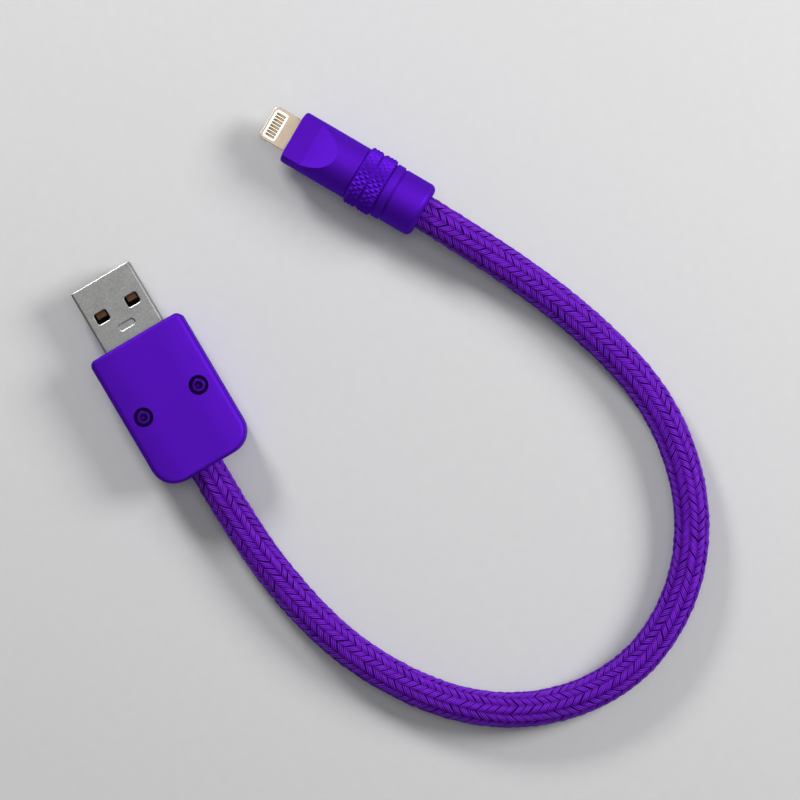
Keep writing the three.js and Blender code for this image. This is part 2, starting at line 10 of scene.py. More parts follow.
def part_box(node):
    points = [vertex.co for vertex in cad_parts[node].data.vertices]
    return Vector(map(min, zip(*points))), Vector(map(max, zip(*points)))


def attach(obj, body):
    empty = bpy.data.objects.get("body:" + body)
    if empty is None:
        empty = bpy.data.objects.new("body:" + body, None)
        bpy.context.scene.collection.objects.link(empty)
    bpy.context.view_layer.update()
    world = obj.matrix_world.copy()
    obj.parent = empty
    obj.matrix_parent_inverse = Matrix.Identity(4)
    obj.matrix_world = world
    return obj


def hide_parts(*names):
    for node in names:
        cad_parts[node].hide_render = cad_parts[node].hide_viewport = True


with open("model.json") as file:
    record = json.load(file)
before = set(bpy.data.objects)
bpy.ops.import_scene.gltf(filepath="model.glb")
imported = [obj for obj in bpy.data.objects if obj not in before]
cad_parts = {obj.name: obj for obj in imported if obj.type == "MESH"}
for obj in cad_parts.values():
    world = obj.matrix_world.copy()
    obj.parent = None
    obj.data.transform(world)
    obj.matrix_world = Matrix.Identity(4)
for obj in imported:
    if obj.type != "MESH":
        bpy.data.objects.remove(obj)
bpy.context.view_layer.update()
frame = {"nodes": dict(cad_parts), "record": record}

# A short charging cable: a wide plug in a screwed two-part housing, a thick braided cord lying in an
# open loop, and a small plug in a turned and knurled housing. Shapes are drawn in millimetres, in the
# frame of the plug they belong to, and placed in metres.

MM = 0.001
UP = Vector((0, 0, 1))
MOUNTS = {mount["name"]: mount for mount in frame["record"]["mounts"]}
scene = bpy.context.scene


def linked(name, data):
    """A new object of a mesh, light or camera, in the scene."""
    made = bpy.data.objects.new(name, data)
    scene.collection.objects.link(made)
    return made


# ---------- places, all from the frame ----------
def span(node, place):
    """Lowest and highest corner of a CAD node in a plug's own axes, in millimetres."""
    into = place.inverted()
    corners = np.array([into @ v.co for v in frame["nodes"][node].data.vertices]) / MM
    return corners.min(axis=0), corners.max(axis=0)


def plug_place(nose, forward):
    """A plug's own axes: y out of its tip, z up, and the origin at the middle of its nose."""
    side = forward.cross(UP)
    turn = Matrix((side, forward, UP)).transposed().to_4x4()
    return Matrix.Translation(nose) @ turn


shell_low, shell_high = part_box("usb_shell")
wide_axis_z = (shell_low.z + shell_high.z) / 2
WIDE = plug_place(Vector((0, MOUNTS["wide_plug_shoulder"]["pos_m"][1], wide_axis_z)), Vector((0, 1, 0)))

grip_low, grip_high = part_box("device_grip_ring")
small_nose = Vector(MOUNTS["small_plug_nose"]["pos_m"])
small_nose.z = (grip_low.z + grip_high.z) / 2
SMALL = plug_place(small_nose, Vector(MOUNTS["small_plug_nose"]["axis"]).normalized())


# ---------- shader building ----------
class Wire:
    """A shader socket that takes part in arithmetic."""

    def __init__(self, finish, socket):
        self.finish = finish
        self.socket = socket

    def __add__(self, other):
        return self.finish.maths("ADD", self, other)

    def __sub__(self, other):
        return self.finish.maths("SUBTRACT", self, other)

    def __rsub__(self, other):
        return self.finish.maths("SUBTRACT", other, self)

    def __mul__(self, other):
        return self.finish.maths("MULTIPLY", self, other)

    def __pow__(self, other):
        return self.finish.maths("POWER", self, other)

    __radd__ = __add__
    __rmul__ = __mul__


class Finish:
    """One material: its surface shader, and the one way in which its other nodes are made."""

    def __init__(self, name, fixed):
        self.material = bpy.data.materials.new(name)
        self.material.use_nodes = True
        self.tree = self.material.node_tree
        self.surface = self.tree.nodes["Principled BSDF"]
        for socket, value in fixed.items():
            self.surface.inputs[socket].default_value = value

    def node(self, kind, settings=None, sockets=None, out=0):
        made = self.tree.nodes.new("ShaderNode" + kind)
        for key, value in (settings or {}).items():
            if key == "stops":
                while len(made.color_ramp.elements) < len(value):
                    made.color_ramp.elements.new(1.0)
                for stop, (position, colour) in zip(made.color_ramp.elements, value):
                    stop.position = position
                    stop.color = colour
            else:
                setattr(made, key, value)
        for key, value in (sockets or {}).items():
            if isinstance(value, Wire):
                self.tree.links.new(value.socket, made.inputs[key])
            else:
                made.inputs[key].default_value = value
        return Wire(self, made.outputs[out])

    def feed(self, socket, wire):
        self.tree.links.new(wire.socket, self.surface.inputs[socket])

    def maths(self, operation, a, b):
        return self.node("Math", {"operation": operation}, {0: a, 1: b})

    def mix(self, factor, a, b):
        return self.node("Mix", {"data_type": "RGBA"}, {0: factor, 6: a, 7: b}, out=2)

    def place(self, stretch=(1, 1, 1), turn=0.0):
        """The surface point in millimetres, turned about z and then scaled along each axis."""
        point = self.node("TexCoord", out="Object")
        turned = self.node("VectorRotate", {"rotation_type": "Z_AXIS"}, {"Vector": point, "Angle": turn})
        size = tuple(s / MM for s in stretch)
        return self.node("VectorMath", {"operation": "MULTIPLY"}, {0: turned, 1: size})

    def noise(self, vector, scale, detail):
        return self.node("TexNoise", {}, {"Vector": vector, "Scale": scale, "Detail": detail})

    def bump(self, height, depth_mm, strength=1.0):
        sockets = {"Strength": strength, "Distance": depth_mm * MM, "Height": height}
        self.feed("Normal", self.node("Bump", {}, sockets))


def linear(red, green, blue):
    """A colour given as screen values from 0 to 255."""
    def one(value):
        value /= 255
        return value / 12.92 if value <= 0.04045 else ((value + 0.055) / 1.055) ** 2.4
    return (one(red), one(green), one(blue), 1.0)


SMALL_TURN = math.atan2(SMALL.col[0].y, SMALL.col[0].x)
# Painted shade: the darker purple given to faces deep in the counterbores and screw sockets.
PAINTED_SHADE_PURPLE = (48, 4, 98)


def blasted_purple(name, colour, dark, turn=0.0, roughness=0.6, metallic=0.75):
    """Bead-blasted, dyed metal: even colour, fine grain, a little unevenness in the dye. Faces marked
    as lying in a recess take a darker purple: painted shade for deep holes."""
    fixed = {"Metallic": metallic, "Specular IOR Level": 0.25, "Specular Tint": (0.5, 0.3, 1, 1)}
    finish = Finish(name, fixed)
    place = finish.place(turn=turn)
    cloud = finish.noise(place, 0.16, 3)
    grain = finish.noise(place, 7.0, 3)
    recess = finish.node("Attribute", {"attribute_name": "recess"}, out="Fac")
    dyed = finish.mix(cloud * 0.5 + grain * 0.35, linear(*colour), linear(*dark))
    # Painted shade: faces marked as lying in a recess take the darker purple.
    finish.feed("Base Color", finish.mix(recess, dyed, linear(*PAINTED_SHADE_PURPLE)))
    finish.feed("Roughness", roughness - 0.05 + cloud * 0.06 + grain * 0.05)
    finish.bump(grain, 0.012, 0.5)
    return finish.material


def plated_metal(name, colour, dark, turn, roughness, streak=(0.25, 9.0, 9.0), rubbed=None):
    """Plated sheet metal: fine grain, faint drawing lines across the plug and small scuffs. Faces
    marked for a highlight take a painted highlight colour, brighter than the metal."""
    finish = Finish(name, {"Metallic": 0.9, "Specular IOR Level": 0.4})
    lines = finish.noise(finish.place(streak, turn), 1.0, 3)
    place = finish.place(turn=turn)
    cloud = finish.noise(place, 0.35, 4)
    grain = finish.noise(place, 4.2, 3)
    shade = cloud * 0.35 + lines * 0.25 + (grain - 0.5) * 1.5 + 0.2
    colours = finish.mix(shade, linear(*colour), linear(*dark))
    gloss = roughness - 0.06 + lines * 0.06 + cloud * 0.08
    # Painted highlight: the marked faces take the lighter colour given, and a little less roughness.
    if rubbed is not None:
        highlight_faces = finish.node("Attribute", {"attribute_name": "rubbed"}, out="Fac")
        colours = finish.mix(highlight_faces, colours, linear(*rubbed))
        gloss = gloss - highlight_faces * 0.1
    finish.feed("Base Color", colours)
    finish.feed("Roughness", gloss)
    finish.bump(lines * 0.3 + grain * 0.7, 0.01, 0.5)
    return finish.material


def moulded(name, colour, dark, roughness, specular=0.4, grain_depth=0.004):
    """Moulded plastic or rubber with a fine tool texture."""
    finish = Finish(name, {"Specular IOR Level": specular})
    place = finish.place()
    cloud = finish.noise(place, 0.6, 3)
    grain = finish.noise(place, 14.0, 2)
    finish.feed("Base Color", finish.mix(cloud, linear(*colour), linear(*dark)))
    finish.feed("Roughness", roughness - 0.04 + cloud * 0.08)
    finish.bump(grain, grain_depth, 0.5)
    return finish.material


YARNS = 3  # side by side in a strand of the braid


def braided_yarn(name, painted_highlight_colour, middle, painted_shade_colour):
    """Spun yarn. The lay attribute holds how many yarns across, how many along, and the strand; the
    rise attribute holds how far the strand stands out of the weave, from 0 to 1."""
    fixed = {"IOR": 1.35, "Specular IOR Level": 0.4, "Specular Tint": (0.6, 0.25, 1, 1)}
    finish = Finish(name, fixed)
    lay = finish.node("Attribute", {"attribute_name": "lay"}, out="Vector")
    rise = finish.node("Attribute", {"attribute_name": "rise"}, out="Fac")
    across, along, strand = (
        finish.node("SeparateXYZ", {}, {"Vector": lay}, out=axis) for axis in "XYZ"
    )
    twisted = across * 7.0 + along * 5.0
    fibre_place = finish.node("CombineXYZ", {}, {"X": twisted, "Y": along * 0.9, "Z": strand * 9.0})
    fibre = finish.noise(fibre_place, 1.0, 2)
    crest = finish.node("Math", {"operation": "SINE"}, {0: across * math.pi}) ** 2
    patch = finish.noise(finish.place(), 0.8, 2)
    # Painted light: crest lightens each yarn's middle and shades the valleys between yarns, and rise shades
    # each strand where it dips under the other lay. Fibre and patch are random tone.
    tone = crest * 0.5 + rise * 0.95 + fibre * 0.5 + patch * 0.35 - 1.0
    stops = [(0.0, linear(*painted_shade_colour)), (0.45, linear(*middle)), (1.0, linear(*painted_highlight_colour))]
    finish.feed("Base Color", finish.node("ValToRGB", {"stops": stops}, {"Fac": tone}))
    finish.feed("Roughness", 0.27 + fibre * 0.2)
    finish.bump(fibre * 0.6 + crest * 0.4, 0.05, 0.8)
    return finish.material


PURPLE = (86, 20, 184)
PURPLE_DARK = (76, 14, 166)
HOUSING = blasted_purple("purple_blasted_housing", PURPLE, PURPLE_DARK)
SCREW_METAL = blasted_purple("purple_screw", (58, 10, 132), (42, 5, 100), roughness=0.34, metallic=0.8)
SMALL_HOUSING = blasted_purple("purple_blasted_small_housing", PURPLE, PURPLE_DARK, -SMALL_TURN)
# The first and last yarn colours are a painted highlight and a painted shade.
YARN = braided_yarn("purple_yarn", (120, 38, 208), (86, 14, 156), (50, 4, 98))
UNDERLAY = moulded("purple_underlay", (44, 4, 90), (34, 2, 72), 0.8)
# The last colour given to the shell, tip and pads is a painted highlight for their marked faces.
SHELL_METAL = plated_metal(
    "satin_plated_shell", (158, 158, 156), (118, 118, 117), 0.0, 0.45, rubbed=(252, 252, 250)
)
TIP_METAL = plated_metal(
    "champagne_tip", (206, 188, 166), (176, 158, 136), -SMALL_TURN, 0.42, rubbed=(255, 250, 240)
)
CONTACT_GOLD = plated_metal("contact_gold", (112, 80, 56), (84, 60, 42), 0.0, 0.45)
PAD_GOLD = plated_metal(
    "pad_gold", (84, 58, 36), (66, 44, 28), -SMALL_TURN, 0.4, rubbed=(186, 156, 108)
)
BRASS = plated_metal("insert_brass", (206, 170, 96), (180, 142, 78), 0.0, 0.34)
TIN = plated_metal("tin_plate", (204, 204, 200), (180, 180, 178), 0.0, 0.38)
BLACK_PLASTIC = moulded("black_plug_plastic", (9, 9, 9), (6, 6, 6), 0.8, 0.1)
WHITE_PLASTIC = moulded("white_tip_plastic", (250, 247, 240), (240, 236, 228), 0.32)
CHIP_BLACK = moulded("chip_black", (36, 36, 38), (26, 26, 28), 0.5)
JACKET_RUBBER = moulded("jacket_rubber", (34, 33, 36), (24, 24, 26), 0.7)
BOARD_GREEN = moulded("board_green", (28, 92, 58), (20, 76, 46), 0.35)
WIRE_COLOURS = {
    "red": (178, 32, 32),
    "white": (228, 226, 220),
    "green": (42, 122, 52),
    "black": (28, 28, 28),
}
WIRE_PLASTIC = [
    moulded("wire_" + name, colour, tuple(round(c * 0.85) for c in colour), 0.45)
    for name, colour in WIRE_COLOURS.items()
]


# ---------- camera and studio ----------
# The view's upright is turned from the cable's +Y, and everything in the studio turns with it.
VIEW_TURN = math.radians(-30.5)
VIEW_CENTRE = Vector((0.03535, -0.02663, 0.004))
VIEW_WIDTH = 0.1441
LENS_MM = 135.0
SENSOR_MM = 36.0
STUDIO = Matrix.Translation(VIEW_CENTRE) @ Matrix.Rotation(VIEW_TURN, 4, "Z")


def make_camera():
    data = bpy.data.cameras.new("overhead_camera")
    data.lens = LENS_MM
    data.sensor_width = SENSOR_MM
    camera = linked("overhead_camera", data)
    distance = VIEW_WIDTH * LENS_MM / SENSOR_MM
    camera.matrix_world = STUDIO @ Matrix.Translation((0, 0, distance))
    scene.camera = camera


def softbox(name, position, size, power):
    """An area light at a place in the studio's axes, aimed at the middle of the cable."""
    data = bpy.data.lights.new(name, "AREA")
    data.shape = "DISK"
    data.size = size
    data.energy = power
    lamp = linked(name, data)
    at = STUDIO @ Vector(position)
    aim = (VIEW_CENTRE - at).to_track_quat("-Z", "Y")
    lamp.matrix_world = Matrix.Translation(at) @ aim.to_matrix().to_4x4()


def make_floor():
    half = 1.5
    z = -0.00015
    corners = [(-half, -half, z), (half, -half, z), (half, half, z), (-half, half, z)]
    mesh = bpy.data.meshes.new("studio_floor")
    mesh.from_pydata(corners, [], [(0, 1, 2, 3)])
    finish = Finish("pale_floor", {"Specular IOR Level": 0.2})
    paper = finish.noise(finish.place(), 0.5, 4)
    finish.feed("Base Color", finish.mix(paper, (0.56, 0.56, 0.56, 1), (0.53, 0.53, 0.535, 1)))
    finish.feed("Roughness", 0.8 + paper * 0.1)
    mesh.materials.append(finish.material)
    linked("studio_floor", mesh)


make_camera()
softbox("overhead_light", (0.02, 0.05, 0.75), 0.45, 1.15)
softbox("key_light", (0.44, 0.17, 0.34), 0.26, 2.9)
softbox("second_light", (-0.26, 0.42, 0.30), 0.14, 2.25)
world = bpy.data.worlds.new("studio_world")
scene.world = world
world.use_nodes = True
sky = world.node_tree.nodes["Background"].inputs
sky["Color"].default_value = (0.95, 0.96, 1.0, 1)
sky["Strength"].default_value = 0.18
scene.view_settings.view_transform = "Standard"
make_floor()


# ---------- mesh building ----------
def add_piece(name, mesh, material, nodes=(), smooth_below=30):
    """Puts a finished mesh in the scene as one piece of the cable, in place of the CAD nodes named.
    Its shading follows its larger faces, so that flats stay flat beside rounded edges."""
    mesh.materials.clear()
    mesh.materials.append(material)
    mesh.shade_smooth()
    mesh.set_sharp_from_angle(angle=math.radians(smooth_below))
    if smooth_below < 180:
        body = linked("body", mesh)
        even = body.modifiers.new("even_shading", "WEIGHTED_NORMAL")
        even.keep_sharp = True
        mesh = baked(body)
    mesh.name = name
    piece = linked(name, mesh)
    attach(piece, "root")
    if nodes:
        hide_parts(*nodes)
    return piece


def baked(body):
    """The mesh of an object with its modifiers applied. The object goes."""
    depsgraph = bpy.context.evaluated_depsgraph_get()
    made = bpy.data.meshes.new_from_object(body.evaluated_get(depsgraph), depsgraph=depsgraph)
    bpy.data.objects.remove(body)
    return made


def mesh_of(points, faces):
    """A mesh with its faces turned outwards."""
    mesh = bpy.data.meshes.new("shape")
    mesh.from_pydata(points, [], faces)
    work = bmesh.new()
    work.from_mesh(mesh)
    bmesh.ops.recalc_face_normals(work, faces=work.faces)
    work.to_mesh(mesh)
    work.free()
    return mesh


def mark_faces(mesh, name, test):
    """Gives a mesh an attribute that is 1 on the faces that pass a test and 0 on the others."""
    marks = mesh.attributes.new(name, "FLOAT", "FACE")
    for polygon, mark in zip(mesh.polygons, marks.data):
        mark.value = float(test(polygon))


def loft(rings, closed=False):
    """Skins rings of equal point counts. Open lofts get a flat face at each end."""
    rings = np.asarray(rings, float)
    count, around, _ = rings.shape
    faces = []
    for i in range(count if closed else count - 1):
        low = i * around
        high = ((i + 1) % count) * around
        for j in range(around):
            k = (j + 1) % around
            faces.append((low + j, low + k, high + k, high + j))
    if not closed:
        faces.append(tuple(range(around)))
        faces.append(tuple(range((count - 1) * around, count * around)))
    return mesh_of(rings.reshape(-1, 3), faces)


def turned(profile, sides=128):
    """Turns [radius, y] points about the y axis. A profile that starts and ends on the axis is capped."""
    angles = np.linspace(0, 2 * math.pi, sides, endpoint=False)
    circle = np.stack([np.cos(angles), np.zeros(sides), np.sin(angles)], axis=1)
    on_axis = profile[0][0] == 0
    kept = profile[1:-1] if on_axis else profile
    rings = [circle * radius + np.array([0, y, 0]) for radius, y in kept]
    return loft(rings, closed=not on_axis)


def round_corners(points, radii, steps=6):
    """A closed outline, with each corner turned into an arc of its own radius."""
    points = [np.array(point, float) for point in points]
    outline = []
    for i, (corner, radius) in enumerate(zip(points, radii)):
        if radius <= 0:
            outline.append(corner)
            continue
        back = points[i - 1] - corner
        ahead = points[(i + 1) % len(points)] - corner
        back /= np.linalg.norm(back)
        ahead /= np.linalg.norm(ahead)
        half = math.acos(np.clip(back @ ahead, -1, 1)) / 2
        middle = back + ahead
        centre = corner + middle / np.linalg.norm(middle) * radius / math.sin(half)
        start = corner + back * radius / math.tan(half) - centre
        end = corner + ahead * radius / math.tan(half) - centre
        sweep = math.pi - 2 * half
        for k in range(steps + 1):
            t = k / steps
            arc = (math.sin((1 - t) * sweep) * start + math.sin(t * sweep) * end) / math.sin(sweep)
            outline.append(centre + arc)
    return outline


def plan(width, length, front_r, rear_r=None, arc_steps=8, side_steps=1):
    """A rounded rectangle about the origin, with one corner radius at its front and one at its rear."""
    rear_r = front_r if rear_r is None else rear_r
    corners = [(1, 1, front_r), (-1, 1, front_r), (-1, -1, rear_r), (1, -1, rear_r)]
    arcs = []
    for quarter, (side, end, radius) in enumerate(corners):
        centre = np.array([side * (width / 2 - radius), end * (length / 2 - radius)])
        angles = (quarter + np.arange(arc_steps + 1) / arc_steps) * math.pi / 2
        arcs.append(centre + radius * np.stack([np.cos(angles), np.sin(angles)], axis=1))
    points = []
    for quarter, arc in enumerate(arcs):
        following = arcs[(quarter + 1) % 4][0]
        points.extend(arc)
        for k in range(1, side_steps):
            points.append(arc[-1] + (following - arc[-1]) * k / side_steps)
    return np.array(points)


def quarter_round(radius, steps):
    """How far each point of a quarter round is in from the side and down from the top, side first."""
    angles = [math.pi / 2 * k / steps for k in range(steps + 1)]
    return [(radius * (1 - math.cos(angle)), radius * (1 - math.sin(angle))) for angle in angles]


def flat_ring(outline, z):
    """An outline in plan, laid at a height."""
    return np.column_stack([outline, np.full(len(outline), z)])


def upright_ring(outline, y):
    """A section seen along the plug, set at a distance along it."""
    return np.column_stack([outline[:, 0], np.full(len(outline), y), outline[:, 1]])


def plate(width, length, front_r, rear_r, low, high, edge, centre_y):
    """A flat block with rounded corners in plan and rounded edges above and below."""
    rounded = quarter_round(edge, 4)
    levels = [(inset, low + drop) for inset, drop in rounded[::-1]]
    levels += [(inset, high - drop) for inset, drop in rounded]
    rings = []
    for inset, z in levels:
        front = max(front_r - inset, 0.02)
        rear = max(rear_r - inset, 0.02)
        outline = plan(width - 2 * inset, length - 2 * inset, front, rear, 6)
        rings.append(flat_ring(outline + np.array([0, centre_y]), z))
    return loft(rings)


def prism(outline, low, high, centre=(0.0, 0.0)):
    """A straight cutter standing on an outline in plan."""
    moved = np.asarray(outline) + np.array(centre)
    return loft([flat_ring(moved, low), flat_ring(moved, high)])


def bar(outline, y0, y1):
    """A straight cutter along the plug, on a section seen along it."""
    return loft([upright_ring(outline, y0), upright_ring(outline, y1)])


def upright(mesh, x, y):
    """Stands a turned shape on its end at a place, so that its y becomes z."""
    mesh.transform(Matrix.Translation((x, y, 0)) @ Matrix.Rotation(math.pi / 2, 4, "X"))
    return mesh


def cut(mesh, cutters, operation="DIFFERENCE"):
    """Takes the cutters' space out of a mesh, or with UNION joins them to it."""
    body = linked("body", mesh)
    tools = []
    for cutter in cutters:
        tool = linked("cutter", cutter)
        modifier = body.modifiers.new("cut", "BOOLEAN")
        modifier.operation = operation
        modifier.solver = "EXACT"
        modifier.object = tool
        tools.append(tool)
    made = baked(body)
    for tool in tools:
        bpy.data.objects.remove(tool)
    return made


def soften(mesh, width_mm, angle=30, segments=2):
    """Rounds every edge that is sharper than the angle. The mesh is in millimetres."""
    body = linked("body", mesh)
    bevel = body.modifiers.new("soft_edges", "BEVEL")
    bevel.width = width_mm
    bevel.segments = segments
    bevel.limit_method = "ANGLE"
    bevel.angle_limit = math.radians(angle)
    bevel.harden_normals = False
    return baked(body)


def placed(mesh, place):
    """Moves a mesh drawn in millimetres in a plug's axes to its place in metres."""
    mesh.transform(place @ Matrix.Scale(MM, 4))
    return mesh


def node_shape(node, place):
    """A copy of a CAD node's shape in a plug's own axes, with its flat faces whole again."""
    mesh = frame["nodes"][node].data.copy()
    mesh.transform(Matrix.Scale(1 / MM, 4) @ place.inverted())
    work = bmesh.new()
    work.from_mesh(mesh)
    bmesh.ops.remove_doubles(work, verts=work.verts, dist=0.001)
    bmesh.ops.dissolve_limit(work, angle_limit=math.radians(1), verts=work.verts, edges=work.edges)
    work.to_mesh(mesh)
    work.free()
    return mesh


def lies_flat(polygon):
    return abs(polygon.normal.z) > 0.9


def softened_node(node, place, edge, material, highlight_faces=None):
    """A squared CAD node, redrawn with its edges rounded. The faces that pass the given test
    get a painted highlight."""
    mesh = soften(node_shape(node, place), edge, 40)
    if highlight_faces:
        mark_faces(mesh, "rubbed", highlight_faces)
    return add_piece(node + "_soft", placed(mesh, place), material, [node])


# ---------- cord: route ----------
# The route of the cord's centre in metres, from inside the wide plug's housing to the small plug's.
CORD_LIES = 0.00322  # height of its centre on the table
CORD_HOLE_R = 3.32  # millimetres, in both housings
HOUSING_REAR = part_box("usb_housing_bottom")[0].y
CORD_X = -0.00075  # a little to one side of the wide plug's middle
CORD_EXIT = Vector((CORD_X, HOUSING_REAR, wide_axis_z))


def behind_small_nose(distance_mm):
    return tuple(SMALL @ Vector((0, -distance_mm * MM, 0)))


# The stretch that lies on the table.
LYING = [
    (-0.0003, -0.0385),
    (0.0008, -0.0464),
    (0.0025, -0.0541),
    (0.0051, -0.0616),
    (0.0087, -0.0687),
    (0.0132, -0.0753),
    (0.0187, -0.0810),
    (0.0252, -0.0855),
    (0.0327, -0.0885),
    (0.0408, -0.0897),
    (0.0488, -0.0888),
    (0.0561, -0.0858),
    (0.0625, -0.0812),
    (0.0677, -0.0752),
    (0.0715, -0.0682),
    (0.0738, -0.0606),
    (0.0747, -0.0528),
    (0.0742, -0.0449),
    (0.0725, -0.0371),
    (0.0700, -0.0292),
]
ROUTE = [
    (CORD_X, -0.015275, wide_axis_z),
    tuple(CORD_EXIT),
    (-0.0008, -0.0250, 0.0041),
    (-0.0007, -0.0315, 0.00342),
    *[(x, y, CORD_LIES) for x, y in LYING],
    (0.0670, -0.0216, 0.0033),
    (0.0636, -0.0142, 0.00385),
    (0.0600, -0.0071, 0.00495),
    behind_small_nose(27.0),
    behind_small_nose(19.2),
]


def smooth_route(points, step):
    """Points a step apart on one smooth curve through the route: a cubic spline by arc length."""
    points = np.array(points)
    at = np.concatenate([[0], np.cumsum(np.linalg.norm(np.diff(points, axis=0), axis=1))])
    gap = np.diff(at)
    size = len(points)
    system = np.eye(size)
    right = np.zeros((size, 3))
    for i in range(1, size - 1):
        system[i, i - 1:i + 2] = gap[i - 1], 2 * (gap[i - 1] + gap[i]), gap[i]
        rise = (points[i + 1] - points[i]) / gap[i] - (points[i] - points[i - 1]) / gap[i - 1]
        right[i] = 6 * rise
    bend = np.linalg.solve(system, right)
    fine = np.linspace(0, at[-1], 4000)
    piece = np.clip(np.searchsorted(at, fine, side="right") - 1, 0, size - 2)
    after = ((fine - at[piece]) / gap[piece])[:, None]
    before = 1 - after
    width = (gap[piece] ** 2)[:, None] / 6
    curve = before * points[piece] + after * points[piece + 1]
    curve += width * ((before ** 3 - before) * bend[piece] + (after ** 3 - after) * bend[piece + 1])
    length = np.concatenate([[0], np.cumsum(np.linalg.norm(np.diff(curve, axis=0), axis=1))])
    count = int(round(length[-1] / step)) + 1
    wanted = np.linspace(0, length[-1], count)
    return np.stack([np.interp(wanted, length, curve[:, k]) for k in range(3)], axis=1), wanted


def carried_frames(centre):
    """Two directions across the cord at each point, carried along it without twist."""
    along = np.gradient(centre, axis=0)
    along /= np.linalg.norm(along, axis=1)[:, None]
    first = np.zeros_like(centre)
    first[0] = np.cross(along[0], np.array([0, 0, 1.0]))
    first[0] /= np.linalg.norm(first[0])
    for i in range(1, len(centre)):
        first[i] = first[i - 1] - along[i] * (first[i - 1] @ along[i])
        first[i] /= np.linalg.norm(first[i])
    return first, np.cross(along, first)


# ---------- cord: braid ----------
STRANDS = 12  # each way round
YARN_STEPS = 4  # across one yarn
BRAID_STEP = 0.000366  # between the rings of points along the cord
BRAID_R = 0.00280  # where the two lays meet
WEAVE_RISE = 0.00021  # how far a strand lies over or under that
STRAND_CROWN = 0.0001
YARN_RISE = 0.00014
STRAND_DEPTH = 0.0002
LAY_LENGTH = 0.00155  # along the cord, from one strand to the next of the same lay
STRAND_FILL = 0.92  # how much of its pitch a strand fills
STRAND_WANDER = 0.09  # of its pitch, to each side
STRAND_SWELL = 0.3
FLOAT_FLATNESS = 1.1
YARN_LENGTH = 0.00038  # along the yarn, for one unit of the lay attribute


def wander(rng, at, waves, shortest, longest):
    """A smooth random run along the cord, between about -1 and 1."""
    lengths = rng.uniform(shortest, longest, (waves, 1))
    starts = rng.uniform(0, 2 * math.pi, (waves, 1))
    return np.sin(at[None, :] * 2 * math.pi / lengths + starts).mean(axis=0) * 1.4


def braid_lay(direction, centre, at, first, second, drift, seed):
    """All the strands that wind one way, as one mesh: each is a band of yarns that passes over and
    under the other lay in turn. The lay attribute carries yarns across, yarns along and the strand."""
    rng = np.random.default_rng(seed)
    across = np.linspace(-0.5, 0.5, YARNS * YARN_STEPS + 1)
    in_yarn = (across + 0.5) * YARNS % 1
    profile = STRAND_CROWN * (1 - 4 * across ** 2) + YARN_RISE * np.sqrt(1 - (2 * in_yarn - 1) ** 2)
    across = np.append(across, 0)
    pitch = 2 * math.pi / STRANDS
    steps, around = len(at), len(across)
    points, lay, rise = [], [], []
    for strand in range(STRANDS):
        turn = pitch * strand + direction * at * pitch / LAY_LENGTH
        turn = turn + STRAND_WANDER * pitch * wander(rng, at, 3, 0.003, 0.011)
        angle = turn[:, None] + across[None, :] * pitch * STRAND_FILL
        over = np.tanh(FLOAT_FLATNESS * direction * np.cos(angle * STRANDS / 2))
        over = over / math.tanh(FLOAT_FLATNESS)
        rise.append(over / 2 + 0.5)
        swell = 1 + STRAND_SWELL * wander(rng, at, 4, 0.002, 0.006)[:, None]
        height = np.empty_like(angle)
        height[:, :-1] = profile[None, :] * swell
        height[:, -1] = -STRAND_DEPTH
        radius = BRAID_R + WEAVE_RISE * over + height
        spun = angle + drift[:, None]
        ring = np.cos(spun)[..., None] * first[:, None, :]
        ring = ring + np.sin(spun)[..., None] * second[:, None, :]
        points.append(centre[:, None, :] + radius[..., None] * ring)
        yarn = np.broadcast_to((across + 0.5) * YARNS, angle.shape)
        length = np.broadcast_to(at[:, None] * math.sqrt(2) / YARN_LENGTH, angle.shape)
        lay.append(np.stack([yarn, length, np.full(angle.shape, strand + 0.5 * direction)], axis=-1))
    grid = np.arange(steps * around).reshape(steps, around)
    beside = np.roll(grid, -1, axis=1)
    quads = np.stack([grid[:-1], beside[:-1], beside[1:], grid[1:]], axis=-1).reshape(-1, 4)
    faces = []
    for strand in range(STRANDS):
        start = strand * steps * around
        faces += (quads + start).tolist()
        faces += [(grid[0] + start).tolist(), (grid[-1] + start).tolist()]
    mesh = mesh_of(np.concatenate(points).reshape(-1, 3), faces)
    values = np.concatenate(lay).reshape(-1, 3).astype(np.float32)
    store = mesh.attributes.new("lay", "FLOAT_VECTOR", "POINT")
    store.data.foreach_set("vector", values.ravel())
    store = mesh.attributes.new("rise", "FLOAT", "POINT")
    store.data.foreach_set("value", np.concatenate(rise).astype(np.float32).ravel())
    return mesh


def underlay(centre, first, second):
    """The soft layer that the braid lies on, just seen between its strands."""
    angles = np.linspace(0, 2 * math.pi, 32, endpoint=False)
    radius = BRAID_R - WEAVE_RISE
    every = slice(None, None, 4)
    rings = centre[every, None, :] + radius * (
        np.cos(angles)[None, :, None] * first[every, None, :]
        + np.sin(angles)[None, :, None] * second[every, None, :]
    )
    return loft(rings)


cord_centre, cord_at = smooth_route(ROUTE, BRAID_STEP)
cord_first, cord_second = carried_frames(cord_centre)
CORD_TWIST = 0.35  # radians, how far the whole braid turns to and fro along the cord
cord_drift = CORD_TWIST * wander(np.random.default_rng(5), cord_at, 3, 0.05, 0.14)


def braid_piece(name, direction, seed):
    mesh = braid_lay(direction, cord_centre, cord_at, cord_first, cord_second, cord_drift, seed)
    return add_piece(name, mesh, YARN, ["braided_cord"], 180)


right_lay = braid_piece("braid_right_lay", 1, 11)
left_lay = braid_piece("braid_left_lay", -1, 23)
under_mesh = underlay(cord_centre, cord_first, cord_second)
under = add_piece("braid_underlay", under_mesh, UNDERLAY, ["braided_cord"], 60)

